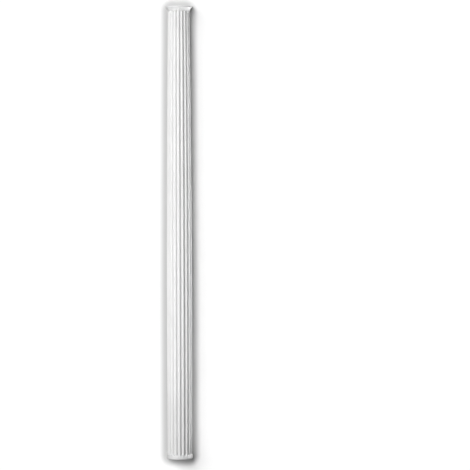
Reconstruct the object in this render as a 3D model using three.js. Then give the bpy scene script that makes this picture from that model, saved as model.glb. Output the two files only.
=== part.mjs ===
// A half column shaft: one moulded piece, half round in plan, with ten flutes, a slight swelling (entasis)
// and a flare with a square rim at each end. It is flat at the back, where it is fixed to a wall.
// Millimetres, +Z up. The front faces -Y and the flat back lies in the plane y = 0.
// The origin is the middle of the flat back.
import * as THREE from "three";
import { mergeVertices } from "three/addons/utils/BufferGeometryUtils.js";

// The shaft as a whole
const shaftLength = 2200; // from the foot's end face to the top's end face
const footRadius = 60; // plain shaft, just above the foot's flare
const widestRadius = 61.5; // at the fullest point of the swelling
const neckRadius = 52.5; // plain shaft, just under the top's flare
const widestHeight = 760; // of the fullest point, above the foot
const upperCurve = 1.75; // power of the curve from the fullest point up to the neck
const lowerCurve = 2; // power of the curve from the fullest point down to the foot

// The flared ends: a concave sweep off the shaft, then a square rim
const topRimRadius = 64;
const topRimHeight = 5;
const topSweepHeight = 22;
const footRimRadius = 64;
const footRimHeight = 6;
const footSweepHeight = 22;

// The flutes, measured at the fullest point: they narrow and grow shallower with the shaft
const fluteCount = 10; // in the half round
const filletWidth = 4.6; // the flat band between two flutes
const fluteDepth = 7;
const topFluteStop = 18.5; // from the top's end face to the flutes' round tips
const footFluteStop = 15.5; // from the foot's end face to the flutes' round tips

// How finely the faces follow the curves
const fluteFacets = 8; // across one flute
const tipRows = 4; // along a flute's round tip
const flareRows = 6; // from a rim to the flutes' tips
const shaftRows = 16; // along the straight of the flutes

const footEnd = -shaftLength / 2;
const flutePitch = Math.PI / fluteCount; // as an angle round the shaft's axis
const fluteHalfAngle = (flutePitch - filletWidth / widestRadius) / 2;
const fluteHalfWidth = fluteHalfAngle * widestRadius;

// How far a concave arc, upright where it leaves the shaft, has swept out at `rise` of its height.
function sweepOut(rise, height, reach) {
  const arcRadius = (height ** 2 + reach ** 2) / (2 * reach);
  return arcRadius - Math.sqrt(arcRadius ** 2 - Math.min(rise, height) ** 2);
}

// The radius before the flutes are cut, at a height above the foot's end face.
function uncutRadius(height) {
  const footFlare = footRimHeight + footSweepHeight;
  const topFlare = shaftLength - topRimHeight - topSweepHeight;
  if (height < footFlare)
    return footRadius + sweepOut(footFlare - height, footSweepHeight, footRimRadius - footRadius);
  if (height > topFlare)
    return neckRadius + sweepOut(height - topFlare, topSweepHeight, topRimRadius - neckRadius);
  if (height < widestHeight) {
    const down = (widestHeight - height) / (widestHeight - footFlare);
    return widestRadius - (widestRadius - footRadius) * down ** lowerCurve;
  }
  const up = (height - widestHeight) / (topFlare - widestHeight);
  return widestRadius - (widestRadius - neckRadius) * up ** upperCurve;
}

// A flute's depth where the uncut shaft has this radius: half an ellipse across, close to half a circle.
// `share` is 0 on the flute's middle line and 1 at its edge.
function fluteCut(share, radius) {
  return fluteDepth * Math.sqrt(Math.max(1 - share ** 2, 0)) * (radius / widestRadius);
}

// The upright lines that the faces hang on, from the left of the back round the front to its right.
// `turn` is the angle from the front, and `share` the place across the flute, from -1 to 1.
function uprightLines() {
  const lines = [{ turn: -Math.PI / 2, share: -1 }];
  for (let flute = 0; flute < fluteCount; flute++) {
    const middle = -Math.PI / 2 + (flute + 0.5) * flutePitch;
    for (let facet = 0; facet <= fluteFacets; facet++) {
      const share = Math.sin(((2 * facet) / fluteFacets - 1) * (Math.PI / 2));
      lines.push({ turn: middle + share * fluteHalfAngle, share });
    }
  }
  lines.push({ turn: Math.PI / 2, share: 1 });
  return lines;
}

// The points up one upright line. Every line has as many, so that they join into rows. The rows bend round the
// flutes' tips: in a flute the tip reaches past the flute's straight, and on a fillet it has no length.
function pointsUp({ turn, share }) {
  const points = [];
  const add = (height, cut) => {
    const radius = uncutRadius(height) - cut;
    points.push(new THREE.Vector3(Math.sin(turn) * radius, -Math.cos(turn) * radius, footEnd + height));
  };
  const reach = Math.sqrt(Math.max(1 - share ** 2, 0)); // of the round tip, as a share of its radius
  const footTip = fluteHalfAngle * uncutRadius(footFluteStop + fluteHalfWidth);
  const topTip = fluteHalfAngle * uncutRadius(shaftLength - topFluteStop - fluteHalfWidth);
  const footCentre = footFluteStop + footTip;
  const topCentre = shaftLength - topFluteStop - topTip;

  add(0, 0);
  for (let row = 0; row < flareRows; row++) {
    const rimTop = footRimHeight;
    add(rimTop + ((footCentre - reach * footTip - rimTop) * row) / flareRows, 0);
  }
  for (let row = 0; row < tipRows; row++) {
    const along = reach * Math.cos((row / tipRows) * (Math.PI / 2));
    const height = footCentre - along * footTip;
    add(height, fluteCut(Math.hypot(share, along), uncutRadius(height)));
  }
  for (let row = 0; row <= shaftRows; row++) {
    const height = footCentre + ((topCentre - footCentre) * row) / shaftRows;
    add(height, fluteCut(Math.abs(share), uncutRadius(height)));
  }
  for (let row = 1; row <= tipRows; row++) {
    const along = reach * Math.sin((row / tipRows) * (Math.PI / 2));
    const height = topCentre + along * topTip;
    add(height, fluteCut(Math.hypot(share, along), uncutRadius(height)));
  }
  for (let row = 1; row <= flareRows; row++) {
    const rimFoot = shaftLength - topRimHeight;
    const tipEnd = topCentre + reach * topTip;
    add(tipEnd + ((rimFoot - tipEnd) * row) / flareRows, 0);
  }
  add(shaftLength, 0);
  return points;
}

// One closed skin: the fluted front between the upright lines, the flat back, and a fan over each end face.
function shaftGeometry() {
  const lines = uprightLines().map(pointsUp);
  const rows = lines[0].length;
  const last = lines.length - 1;
  const position = [];
  const triangle = (...corners) => corners.forEach((p) => position.push(p.x, p.y, p.z));
  const quad = (a, b, c, d) => {
    triangle(a, b, c);
    triangle(a, c, d);
  };
  for (let row = 0; row + 1 < rows; row++) {
    for (let i = 0; i < last; i++)
      quad(lines[i][row], lines[i + 1][row], lines[i + 1][row + 1], lines[i][row + 1]);
    quad(lines[last][row], lines[0][row], lines[0][row + 1], lines[last][row + 1]);
  }
  for (let i = 1; i < last; i++) {
    triangle(lines[0][0], lines[i + 1][0], lines[i][0]);
    triangle(lines[0][rows - 1], lines[i][rows - 1], lines[i + 1][rows - 1]);
  }
  const geometry = new THREE.BufferGeometry();
  geometry.setAttribute("position", new THREE.Float32BufferAttribute(position, 3));
  return withoutSlivers(mergeVertices(geometry, 1e-3));
}

// Merging brings the rows of a flute's tip together where it has no length, which leaves triangles with two
// corners in one: they are taken out.
function withoutSlivers(geometry) {
  const kept = [];
  const index = geometry.index.array;
  for (let i = 0; i < index.length; i += 3) {
    const [a, b, c] = index.subarray(i, i + 3);
    if (a !== b && b !== c && c !== a) kept.push(a, b, c);
  }
  geometry.setIndex(kept);
  geometry.computeVertexNormals();
  return geometry;
}

const primedFoam = new THREE.MeshStandardMaterial({
  color: 0xf3f2ef,
  roughness: 0.55,
  metalness: 0,
  flatShading: true,
});
const shaft = new THREE.Mesh(shaftGeometry(), primedFoam);
shaft.name = "half_column_shaft";

const halfColumn = new THREE.Group();
halfColumn.add(shaft);
export default halfColumn;
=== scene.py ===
import bmesh
import bpy
import math
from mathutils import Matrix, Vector


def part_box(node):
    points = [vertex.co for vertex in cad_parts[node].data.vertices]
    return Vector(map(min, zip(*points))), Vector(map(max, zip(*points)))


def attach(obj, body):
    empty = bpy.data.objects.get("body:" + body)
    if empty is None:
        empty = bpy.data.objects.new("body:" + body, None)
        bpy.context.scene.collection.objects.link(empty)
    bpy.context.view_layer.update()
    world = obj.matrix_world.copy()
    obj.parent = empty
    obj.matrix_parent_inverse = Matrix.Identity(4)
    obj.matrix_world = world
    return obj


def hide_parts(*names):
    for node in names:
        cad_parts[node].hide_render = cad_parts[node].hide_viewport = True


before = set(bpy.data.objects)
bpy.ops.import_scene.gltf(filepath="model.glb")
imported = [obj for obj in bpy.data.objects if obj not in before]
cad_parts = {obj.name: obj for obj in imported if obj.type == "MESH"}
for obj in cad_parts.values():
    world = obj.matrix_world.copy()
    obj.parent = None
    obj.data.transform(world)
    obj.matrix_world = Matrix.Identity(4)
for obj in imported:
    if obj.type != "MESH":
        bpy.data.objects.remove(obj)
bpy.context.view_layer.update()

mm = 0.001
shaftNode = "half_column_shaft"
lowCorner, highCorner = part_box(shaftNode)


# Helpers

def hexColour(hexText):
    parts = [int(hexText[i:i + 2], 16) / 255 for i in (1, 3, 5)]
    linear = [p / 12.92 if p <= 0.04045 else ((p + 0.055) / 1.055) ** 2.4 for p in parts]
    return (*linear, 1.0)


def addNode(tree, kind, settings=None, links=None):      # a socket whose name isn't its own goes by number
    node = tree.nodes.new(kind)
    for name, value in (settings or {}).items():
        if name in node.inputs:
            node.inputs[name].default_value = value
        else:
            setattr(node, name, value)
    for name, source in (links or {}).items():
        tree.links.new(source, node.inputs[name])
    return node


def newMaterial(name):
    material = bpy.data.materials.new(name)
    material.use_nodes = True
    material.node_tree.nodes.clear()
    return material, material.node_tree


# Camera

cameraPlan = {
    "photoSize": 470,            # pixels, both ways
    "topRow": 6.65,              # where the ends of the shaft's back stand in the photograph, pixels
    "footRow": 457.5,
    "column": 179.2,             # where its middle line stands
    "roll": 0.11,                # degrees: the photographed shaft leans a little to the left
    "distance": 9.6,             # metres to the wall: near enough for the foot's rim to bow by two pixels
    "height": 0.37,              # metres above the shaft's middle
    "filmWidth": 36.0,           # millimetres
    "farClip": 100,              # metres
    "rounds": 12,                # of working out the focal length and the tilt from each other
}


def makeCamera(plan):
    middle = plan["photoSize"] / 2
    topUp, footUp = middle - plan["topRow"], middle - plan["footRow"]
    toTop = math.atan((highCorner[2] - plan["height"]) / plan["distance"])
    toFoot = math.atan((lowCorner[2] - plan["height"]) / plan["distance"])
    tilt = 0.0
    for turn in range(plan["rounds"]):       # they put both ends on their rows
        focal = (topUp - footUp) / (math.tan(toTop - tilt) - math.tan(toFoot - tilt))
        tilt = toTop - math.atan(topUp / focal)
    yaw = math.atan((middle - plan["column"]) / focal)
    data = bpy.data.cameras.new("camera")
    data.sensor_width = plan["filmWidth"]
    data.lens = plan["filmWidth"] * focal / plan["photoSize"]
    data.clip_end = plan["farClip"]
    camera = bpy.data.objects.new("camera", data)
    camera.location = (0, -plan["distance"], plan["height"])
    camera.rotation_euler = (math.radians(90) + tilt, math.radians(plan["roll"]), -yaw)
    bpy.context.scene.collection.objects.link(camera)
    bpy.context.scene.camera = camera


makeCamera(cameraPlan)
print("camera set")


# The shaft: one skin of rows and upright lines, finer than the solid and with its edges rounded by the mould

shaftPlan = {
    "footRadius": 60.0,          # millimetres, all of them
    "widestRadius": 61.5,
    "neckRadius": 52.5,
    "widestHeight": 760,
    "upperCurve": 1.75,          # powers of the swelling's curves
    "lowerCurve": 2,
    "topRimHeight": 5.0,
    "topSweepHeight": 22,
    "footRimHeight": 6.0,
    "footSweepHeight": 22,
    "fluteCount": 10,
    "filletWidth": 4.6,
    "fluteDepth": 7.0,
    "topFluteStop": 18.5,
    "footFluteStop": 15.5,
    "arrisRound": 1.4,           # radius of the rounded edge between a flute and a fillet
    "rimRound": 0.8,             # radius of the rims' rounded edges
    "arcSteps": 10,              # across half a flute
    "arrisSteps": 6,
    "filletSteps": 3,
    "flareSteps": 16,
    "rimSteps": 4,
    "lengthSteps": 48,
    "mergeWithin": 0.002,        # points closer than this become one
}


def makeShaft(plan):
    length = (highCorner[2] - lowCorner[2]) / mm
    rimRadius = (highCorner[0] - lowCorner[0]) / 2 / mm
    foot = lowCorner[2] / mm
    widest = plan["widestRadius"]
    pitch = math.pi / plan["fluteCount"]
    halfWidth = (pitch * widest - plan["filletWidth"]) / 2
    depth = plan["fluteDepth"]
    arc = (halfWidth ** 2 + depth ** 2) / (2 * depth)
    edge = plan["arrisRound"]
    reachOut = math.sqrt((arc + edge) ** 2 - (arc - depth + edge) ** 2)  # half width with its rounded edges
    turnOver = reachOut * arc / (arc + edge)   # where the flute's arc meets the rounded edge

    def cutAt(share):
        across = min(share, 1) * reachOut
        if across < turnOver:
            return math.sqrt(arc ** 2 - across ** 2) - (arc - depth)
        return edge - math.sqrt(max(edge ** 2 - (reachOut - across) ** 2, 0))

    def sweepOut(rise, height, reach):
        radius = (height ** 2 + reach ** 2) / (2 * reach)
        return radius - math.sqrt(radius ** 2 - min(rise, height) ** 2)

    def softLess(a, b):            # the lesser of two, with the corner between them rounded
        soft = plan["rimRound"]
        gap = max(soft - abs(a - b), 0) / soft
        return min(a, b) - gap * gap * soft / 4

    footFlare = plan["footRimHeight"] + plan["footSweepHeight"]
    topFlare = length - plan["topRimHeight"] - plan["topSweepHeight"]

    def radiusAt(height):          # uncut, with the corner between a sweep and its rim rounded
        if height < footFlare:
            beyond = rimRadius - plan["footRadius"]
            swept = plan["footRadius"] + sweepOut(footFlare - height, plan["footSweepHeight"], beyond)
            steep = beyond * 2 / plan["footSweepHeight"]
            past = max(plan["footRimHeight"] - height, 0) * steep
            return softLess(rimRadius, swept + past)
        if height > topFlare:
            beyond = rimRadius - plan["neckRadius"]
            swept = plan["neckRadius"] + sweepOut(height - topFlare, plan["topSweepHeight"], beyond)
            steep = beyond * 2 / plan["topSweepHeight"]
            past = max(height - length + plan["topRimHeight"], 0) * steep
            return softLess(rimRadius, swept + past)
        if height < plan["widestHeight"]:
            down = (plan["widestHeight"] - height) / (plan["widestHeight"] - footFlare)
            return widest - (widest - plan["footRadius"]) * down ** plan["lowerCurve"]
        up = (height - plan["widestHeight"]) / (topFlare - plan["widestHeight"])
        return widest - (widest - plan["neckRadius"]) * up ** plan["upperCurve"]

    def halfShares():              # places across half a flute, from its middle to its edge, as shares
        meeting = math.asin(turnOver / arc)
        steps, edgeSteps = plan["arcSteps"], plan["arrisSteps"]
        places = [arc * math.sin(meeting * i / steps) for i in range(steps + 1)]
        places += [reachOut - edge * math.sin(meeting * (edgeSteps - i) / edgeSteps)
                   for i in range(1, edgeSteps + 1)]
        return [p / reachOut for p in places]

    halfAngle = reachOut / widest
    half = halfShares()
    shares = [-s for s in reversed(half[1:])] + half

    lines = [(-math.pi / 2, 1.0)]      # upright lines: angle from the front, and share of the flute
    for flute in range(plan["fluteCount"]):
        middle = -math.pi / 2 + (flute + 0.5) * pitch
        start, gap = lines[-1][0], middle - halfAngle - lines[-1][0]
        lines += [(start + gap * s / plan["filletSteps"], 1.0) for s in range(1, plan["filletSteps"])]
        lines += [(middle + s * halfAngle, abs(s)) for s in shares]
    start, gap = lines[-1][0], math.pi / 2 - lines[-1][0]
    lines += [(start + gap * s / plan["filletSteps"], 1.0) for s in range(1, plan["filletSteps"] + 1)]

    footTip = halfAngle * radiusAt(plan["footFluteStop"] + reachOut)
    topTip = halfAngle * radiusAt(length - plan["topFluteStop"] - reachOut)
    footCentre = plan["footFluteStop"] + footTip
    topCentre = length - plan["topFluteStop"] - topTip
    tipShares = half[::-1]             # rows along a round tip, from its end inwards

    def upLine(share):                 # (height, radius) pairs up one line
        bulge = math.sqrt(max(1 - share ** 2, 0))
        tipLow, tipHigh = footCentre - bulge * footTip, topCentre + bulge * topTip
        corner, steps, flares = plan["rimRound"], plan["rimSteps"], plan["flareSteps"]
        rise = [corner * (1 - math.cos(math.pi / 2 * i / steps)) for i in range(steps + 1)]
        inset = [corner * (1 - math.sin(math.pi / 2 * i / steps)) for i in range(steps + 1)]
        points = [(h, radiusAt(0) - i) for h, i in zip(rise, inset)]
        bend = [corner + (tipLow - corner) * (i / flares) for i in range(1, flares)]
        points += [(h, radiusAt(h)) for h in bend]
        for tip in tipShares[:-1]:
            height = footCentre - tip * bulge * footTip
            cut = cutAt(math.hypot(share, tip * bulge)) * radiusAt(height) / widest
            points.append((height, radiusAt(height) - cut))
        for i in range(plan["lengthSteps"] + 1):
            height = footCentre + (topCentre - footCentre) * i / plan["lengthSteps"]
            points.append((height, radiusAt(height) - cutAt(share) * radiusAt(height) / widest))
        for tip in tipShares[::-1][1:]:
            height = topCentre + tip * bulge * topTip
            cut = cutAt(math.hypot(share, tip * bulge)) * radiusAt(height) / widest
            points.append((height, radiusAt(height) - cut))
        top = length - corner
        bend = [tipHigh + (top - tipHigh) * (i / flares) for i in range(1, flares)]
        points += [(h, radiusAt(h)) for h in bend]
        points += [(length - h, radiusAt(length) - i) for h, i in zip(rise[::-1], inset[::-1])]
        return points

    vertices, faces, columns = [], [], []
    for turn, share in lines:
        column = []
        for height, radius in upLine(share):
            across, out = math.sin(turn) * radius, -math.cos(turn) * radius
            column.append(len(vertices))
            vertices.append((across * mm, out * mm, (foot + height) * mm))
        columns.append(column)
    rows = len(columns[0])
    for left, right in zip(columns, columns[1:]):
        for row in range(rows - 1):
            faces.append((left[row], right[row], right[row + 1], left[row + 1]))
    skinFaces = len(faces)
    first, last = columns[0], columns[-1]
    for row in range(rows - 1):
        faces.append((last[row], first[row], first[row + 1], last[row + 1]))
    backFaces = len(faces)
    faces.append(tuple(column[0] for column in reversed(columns)))
    faces.append(tuple(column[-1] for column in columns))

    mesh = bpy.data.meshes.new("fluted_shaft")
    mesh.from_pydata(vertices, [], faces)
    for index, face in enumerate(mesh.polygons):
        face.use_smooth = index < skinFaces
        face.material_index = 1 if skinFaces <= index < backFaces else 0
    tidy = bmesh.new()
    tidy.from_mesh(mesh)
    bmesh.ops.remove_doubles(tidy, verts=tidy.verts, dist=plan["mergeWithin"] * mm)
    bmesh.ops.recalc_face_normals(tidy, faces=tidy.faces)
    tidy.to_mesh(mesh)
    tidy.free()
    mesh.validate()
    piece = bpy.data.objects.new("fluted_shaft", mesh)
    bpy.context.scene.collection.objects.link(piece)
    return piece


shaft = makeShaft(shaftPlan)
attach(shaft, "root")
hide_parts(shaftNode)
print("shaft made:", len(shaft.data.vertices), "vertices,", len(shaft.data.polygons), "faces")


# Moulded hard polyurethane foam under a sprayed white primer: its skin is closed and matt with a faint satin,
# so the flutes' edges shine softly and their floors never mirror anything.

primerPlan = {
    "colour": "#e8e8e8",
    "shadeColour": "#e5e5e5",        # where the sprayed coat is a little thinner
    "coatDrift": 180.0,              # millimetres between thicker and thinner coat
    "coatShares": (0.35, 0.65),      # of the drift: thin below the first, full above the second
    "roughShares": (0.3, 0.7),       # of the drift, where the roughness below begins and ends
    "grain": 1.6,                    # millimetres, the primer's orange peel
    "grainDepth": 0.012,             # millimetres
    "roughness": (0.46, 0.58),
    "ior": 1.46,
}


def primedFoam(plan):
    material, tree = newMaterial("primed hard foam")
    place = addNode(tree, "ShaderNodeTexCoord").outputs["Object"]
    drift = addNode(tree, "ShaderNodeTexNoise", {"Scale": 1 / (plan["coatDrift"] * mm), "Detail": 3.0},
                    {"Vector": place})
    grain = addNode(tree, "ShaderNodeTexNoise", {"Scale": 1 / (plan["grain"] * mm), "Detail": 2.0},
                    {"Vector": place})
    colour = addNode(tree, "ShaderNodeValToRGB", links={"Fac": drift.outputs["Fac"]})
    thin, full = colour.color_ramp.elements
    thin.position, full.position = plan["coatShares"]
    thin.color, full.color = hexColour(plan["shadeColour"]), hexColour(plan["colour"])
    rough = addNode(tree, "ShaderNodeMapRange",
                    {"From Min": plan["roughShares"][0], "From Max": plan["roughShares"][1],
                     "To Min": plan["roughness"][0], "To Max": plan["roughness"][1]},
                    {"Value": drift.outputs["Fac"]})
    peel = addNode(tree, "ShaderNodeBump", {"Strength": 1.0, "Distance": plan["grainDepth"] * mm},
                   {"Height": grain.outputs["Fac"]})
    shader = addNode(tree, "ShaderNodeBsdfPrincipled", {"IOR": plan["ior"]},
                     {"Base Color": colour.outputs["Color"], "Roughness": rough.outputs["Result"],
                      "Normal": peel.outputs["Normal"]})
    addNode(tree, "ShaderNodeOutputMaterial", links={"Surface": shader.outputs["BSDF"]})
    return material


# The same foam where the mould's lid left it bare: creamy and duller, with fine open pores and long sanding
# marks.

bareFoamPlan = {
    "colour": "#efe9dc",
    "poreColour": "#d8cfbc",
    "poreSize": 2.2,                 # millimetres
    "poreDepth": 0.15,               # millimetres
    "poreShares": (0.05, 0.30),      # of its size: pore colour up to the first, face colour from the second
    "sandingWidth": 1.2,             # millimetres between marks
    "sandingRun": 160.0,             # millimetres along one mark
    "sandingDepth": 0.05,            # millimetres
    "roughness": 0.85,
    "ior": 1.46,
}


def bareFoam(plan):
    material, tree = newMaterial("sanded bare foam")
    place = addNode(tree, "ShaderNodeTexCoord").outputs["Object"]
    pores = addNode(tree, "ShaderNodeTexVoronoi", {"Scale": 1 / (plan["poreSize"] * mm)}, {"Vector": place})
    stretch = addNode(tree, "ShaderNodeMapping", {"Scale": (1, 1, plan["sandingWidth"] / plan["sandingRun"])},
                      {"Vector": place})
    marks = addNode(tree, "ShaderNodeTexNoise", {"Scale": 1 / (plan["sandingWidth"] * mm), "Detail": 2.0},
                    {"Vector": stretch.outputs["Vector"]})
    colour = addNode(tree, "ShaderNodeValToRGB", links={"Fac": pores.outputs["Distance"]})
    pore, face = colour.color_ramp.elements
    pore.position, face.position = plan["poreShares"]
    pore.color, face.color = hexColour(plan["poreColour"]), hexColour(plan["colour"])
    scratch = addNode(tree, "ShaderNodeBump", {"Strength": 0.5, "Distance": plan["sandingDepth"] * mm},
                      {"Height": marks.outputs["Fac"]})
    pitted = addNode(tree, "ShaderNodeBump", {"Strength": 0.7, "Distance": plan["poreDepth"] * mm},
                     {"Height": pores.outputs["Distance"], "Normal": scratch.outputs["Normal"]})
    shader = addNode(tree, "ShaderNodeBsdfPrincipled", {"Roughness": plan["roughness"], "IOR": plan["ior"]},
                     {"Base Color": colour.outputs["Color"], "Normal": pitted.outputs["Normal"]})
    addNode(tree, "ShaderNodeOutputMaterial", links={"Surface": shader.outputs["BSDF"]})
    return material


shaft.data.materials.append(primedFoam(primerPlan))
shaft.data.materials.append(bareFoam(bareFoamPlan))
print("foam finished")


# Room: a white wall right behind the shaft and a pale floor below it, in flat emulsion paint, which has no
# gloss and so shows no lamp. Around the shaft's outline the wall also has a soft shadow painted into its
# colour, on top of the real shadow from its own lamp. Each shows from its own side alone and only to the
# camera, so that the shaft's back is seen and lit too.

roomPlan = {
    "wallColour": "#ffffff",
    "floorColour": "#f2f2f2",
    "wallSize": (8.0, 5.0),          # metres across and up
    "wallGap": 0.0006,               # metres behind the shaft's back
    "shade": 0.46,                   # painted shadow: how much darker the wall is painted right beside the shaft
    "shadeEnds": (-1.108, 1.104),    # metres from the shaft's middle, how far that runs down and up
    "shadeCorner": 0.025,            # radius of its corners, metres
    "shadeReach": 0.052,             # metres over which it fades
    "floorDrop": 0.15,               # metres under the shaft's foot
    "floorSize": 8.0,
}


def paintedShadow(tree, hexText, plan):      # painted shadow: the colour is darker near the shaft, by the distance from its outline
    foot, top = plan["shadeEnds"]
    corner = plan["shadeCorner"]
    widest = lowCorner[2] + shaftPlan["widestHeight"] * mm
    widestHalf, neckHalf = (shaftPlan[name] * mm - corner for name in ("widestRadius", "neckRadius"))
    place = addNode(tree, "ShaderNodeTexCoord").outputs["Object"]
    middle = addNode(tree, "ShaderNodeMapping", {"Location": (0, 0, -(foot + top) / 2)}, {"Vector": place})
    size = addNode(tree, "ShaderNodeVectorMath", {"operation": "ABSOLUTE"},
                   {"Vector": middle.outputs["Vector"]})
    rise = addNode(tree, "ShaderNodeSeparateXYZ", links={"Vector": place}).outputs["Z"]
    half = addNode(tree, "ShaderNodeMapRange", {"From Min": widest, "From Max": highCorner[2],
                   "To Min": widestHalf, "To Max": neckHalf}, {"Value": rise})
    outline = addNode(tree, "ShaderNodeCombineXYZ", {"Z": (top - foot) / 2 - corner},
                      {"X": half.outputs["Result"]})
    beyond = addNode(tree, "ShaderNodeVectorMath", {"operation": "SUBTRACT"},
                     {0: size.outputs["Vector"], 1: outline.outputs["Vector"]})
    outside = addNode(tree, "ShaderNodeVectorMath", {"operation": "MAXIMUM"},
                      {"Vector": beyond.outputs["Vector"]})
    flat = addNode(tree, "ShaderNodeVectorMath", {"operation": "MULTIPLY"},
                   {"Vector": outside.outputs["Vector"]})
    flat.inputs[1].default_value = (1, 0, 1)       # across and up alone
    away = addNode(tree, "ShaderNodeVectorMath", {"operation": "LENGTH"}, {"Vector": flat.outputs["Vector"]})
    fade = addNode(tree, "ShaderNodeMapRange", {"interpolation_type": "SMOOTHERSTEP", "From Min": corner,
                   "From Max": corner + plan["shadeReach"], "To Min": 1 - plan["shade"], "To Max": 1.0},
                   {"Value": away.outputs["Value"]})
    shadowedColour = addNode(tree, "ShaderNodeVectorMath", {"operation": "SCALE", "Vector": hexColour(hexText)[:3]},
                   {"Scale": fade.outputs["Result"]})
    return shadowedColour.outputs["Vector"]


def showFrontAlone(tree, front):           # a sheet is clear from behind
    clear = addNode(tree, "ShaderNodeBsdfTransparent")
    side = addNode(tree, "ShaderNodeNewGeometry").outputs["Backfacing"]
    mix = addNode(tree, "ShaderNodeMixShader", links={"Fac": side, 1: front, 2: clear.outputs["BSDF"]})
    addNode(tree, "ShaderNodeOutputMaterial", links={"Surface": mix.outputs["Shader"]})


def mattPaint(name, hexText, shading=None):
    material, tree = newMaterial(name)
    paint = addNode(tree, "ShaderNodeBsdfDiffuse", {"Color": hexColour(hexText)})
    # the wall's painted shadow around the shaft, where a plan for it is given
    if shading:
        tree.links.new(paintedShadow(tree, hexText, shading), paint.inputs["Color"])
    showFrontAlone(tree, paint.outputs["BSDF"])
    return material


def makeSheet(name, corners, material, faces=((0, 1, 2, 3),)):
    mesh = bpy.data.meshes.new(name)
    mesh.from_pydata(corners, [], faces)
    mesh.materials.append(material)
    sheet = bpy.data.objects.new(name, mesh)
    bpy.context.scene.collection.objects.link(sheet)
    sheet.visible_diffuse = sheet.visible_glossy = sheet.visible_transmission = False
    sheet.visible_shadow = False
    return sheet


def lightOnly(source, receivers):
    lit = bpy.data.collections.new(source.name + "_lights")
    for receiver in receivers:
        lit.objects.link(receiver)
    source.light_linking.receiver_collection = lit


def makeRoom(plan):
    wide, tall = plan["wallSize"][0] / 2, plan["wallSize"][1]
    low = lowCorner[2] - plan["floorDrop"]
    back = highCorner[1] + plan["wallGap"]
    high = low + tall
    wall = makeSheet("wall", [(-wide, back, low), (wide, back, low), (wide, back, high), (-wide, back, high)],
                     mattPaint("matt wall paint with painted shadow", plan["wallColour"], plan))
    near = back - plan["floorSize"]
    floor = makeSheet("floor", [(-wide, near, low), (wide, near, low), (wide, back, low), (-wide, back, low)],
                      mattPaint("matt floor paint", plan["floorColour"]))
    return wall, floor


wall, floor = makeRoom(roomPlan)


# What the bright wall to the right throws back at the shaft: a sheet that isn't seen and glows to the front
# alone. It stands a little in front of the shaft's back, so that the back itself gets none of it.

glowPlan = {
    "rise": (-0.02, 0.12),           # metres to the right, between which the shaft's shadow on the wall ends
    "strength": 4.8,                 # its brightness, where white paper in full light is 1
    "inside": 0.0004,                # metres in front of the shaft's back
    "across": (0.066, 0.666),        # metres to the right, where it stands
    "ends": (-1.065, 1.085),         # metres up from the shaft's middle: it ends short of the rims
    "cell": 0.05,                    # it is cut into small faces, which light the shaft with less noise
}


def makeGlow(plan):
    material, tree = newMaterial("light off the wall")
    place = addNode(tree, "ShaderNodeTexCoord").outputs["Object"]
    split = addNode(tree, "ShaderNodeSeparateXYZ", links={"Vector": place})
    rising = addNode(tree, "ShaderNodeMapRange", {"From Min": plan["rise"][0], "From Max": plan["rise"][1],
                     "To Min": 0.0, "To Max": plan["strength"]}, {"Value": split.outputs["X"]})
    glow = addNode(tree, "ShaderNodeEmission", links={"Strength": rising.outputs["Result"]})
    showFrontAlone(tree, glow.outputs["Emission"])
    back = highCorner[1] - plan["inside"]
    left, right = plan["across"]
    foot, top = plan["ends"]
    across, up = (round(size / plan["cell"]) for size in (right - left, top - foot))
    corners = [(left + (right - left) * i / across, back, foot + (top - foot) * j / up)
               for j in range(up + 1) for i in range(across + 1)]
    faces = [(n, n + 1, n + across + 2, n + across + 1) for j in range(up)
             for n in range(j * (across + 1), j * (across + 1) + across)]
    sheet = makeSheet("wall_glow", corners, material, faces)
    sheet.visible_camera = False
    sheet.visible_diffuse = sheet.visible_glossy = True
    lightOnly(sheet, [shaft])


makeGlow(glowPlan)


# Light: a tall strip softbox to the left with a faint one beside it, a wide soft fill in front that ends
# above the shaft's foot, and a dim soft surround. The wall and the floor have a soft lamp of their own, which
# gives the shaft's shadow. A lamp behind and one above light the shaft's back and its top face.

lightPlan = {
    "frontSurround": 0.09,
    "rearSurround": 0.20,
    "surroundBlend": 0.1,            # either side of the wall's plane, as a share of straight ahead
    "backdrop": 0.72,                # what the camera sees past the wall and the floor
    "sunDistance": 5.0,              # metres to where a sun stands, which changes nothing
    # Angles in degrees, sizes in metres. Strength is what falls on a surface that faces the light, in watts
    # on a square metre. A strip's lengths are its low and high end, as heights from the shaft's middle, and
    # the share of the strength that this stretch has.
    "key": {"strength": 2.18, "azimuth": -26.5, "distance": 0.45, "width": 0.18,
            "lengths": ((-0.90, 3.0, 1.0), (-3.0, -0.90, 0.74))},
    "fill": {"strength": 0.68, "azimuth": 0.0, "distance": 0.6, "width": 1.2,
             "lengths": ((-0.90, 3.0, 1.0),)},
    "side": {"strength": 0.34, "azimuth": -46.0, "distance": 0.45, "width": 0.10,
             "lengths": ((-3.0, 3.0, 1.0),)},
    "room": {"strength": 4.80, "spread": 60.0, "azimuth": -46.0, "height": 26.0},
    "rear": {"strength": 1.25, "spread": 40.0, "azimuth": 180.0, "height": 10.0},
    "top": {"strength": 1.0, "spread": 30.0, "azimuth": 0.0, "height": 88.0},
}


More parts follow.
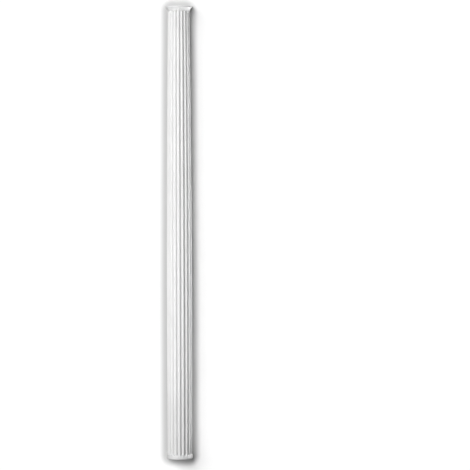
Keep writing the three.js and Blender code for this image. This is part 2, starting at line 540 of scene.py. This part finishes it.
def makeSurround(plan):
    world = bpy.data.worlds.new("surround")
    world.use_nodes = True
    tree = world.node_tree
    tree.nodes.clear()
    towards = addNode(tree, "ShaderNodeTexCoord").outputs["Generated"]
    deep = addNode(tree, "ShaderNodeSeparateXYZ", links={"Vector": towards}).outputs["Y"]
    glow = addNode(tree, "ShaderNodeMapRange",
                   {"From Min": -plan["surroundBlend"], "From Max": plan["surroundBlend"],
                    "To Min": plan["frontSurround"], "To Max": plan["rearSurround"]}, {"Value": deep})
    lit = addNode(tree, "ShaderNodeBackground", links={"Strength": glow.outputs["Result"]})
    seen = addNode(tree, "ShaderNodeBackground", {"Strength": plan["backdrop"]})
    isCamera = addNode(tree, "ShaderNodeLightPath").outputs["Is Camera Ray"]
    mix = addNode(tree, "ShaderNodeMixShader",
                  links={"Fac": isCamera, 1: lit.outputs["Background"], 2: seen.outputs["Background"]})
    for background in (lit, seen):
        background.inputs["Color"].default_value = (1, 1, 1, 1)
    addNode(tree, "ShaderNodeOutputWorld", links={"Surface": mix.outputs["Shader"]})
    bpy.context.scene.world = world


def placeLamp(name, data, toLight, away, receivers):
    lamp = bpy.data.objects.new(name, data)
    lamp.location = toLight * away
    lamp.rotation_euler = toLight.to_track_quat("Z", "Y").to_euler()
    lamp.visible_camera = False
    bpy.context.scene.collection.objects.link(lamp)
    lightOnly(lamp, receivers)
    return lamp


def direction(azimuth, height=0.0):
    turn, rise = math.radians(azimuth), math.radians(height)
    return Vector((math.sin(turn) * math.cos(rise), -math.cos(turn) * math.cos(rise), math.sin(rise)))


def makeStrip(name, plan, receivers):
    for low, high, share in plan["lengths"]:       # the power is what an endless strip would need
        data = bpy.data.lights.new(name, "AREA")
        data.shape, data.size, data.size_y = "RECTANGLE", plan["width"], high - low
        data.energy = share * plan["strength"] * 2 * plan["distance"] * (high - low)
        lamp = placeLamp(name, data, direction(plan["azimuth"]), plan["distance"], receivers)
        lamp.location.z = (low + high) / 2


def makeSun(name, plan, receivers):
    data = bpy.data.lights.new(name, "SUN")
    data.energy, data.angle = plan["strength"], math.radians(plan["spread"])
    placeLamp(name, data, direction(plan["azimuth"], plan["height"]), lightPlan["sunDistance"], receivers)


makeSurround(lightPlan)
for strip in ("key", "fill", "side"):
    makeStrip(strip, lightPlan[strip], [shaft])
makeSun("room_lamp", lightPlan["room"], [wall, floor])
makeSun("rear_lamp", lightPlan["rear"], [shaft])
makeSun("top_lamp", lightPlan["top"], [shaft])
bpy.context.scene.view_settings.view_transform = "Standard"
print("room and lights set")
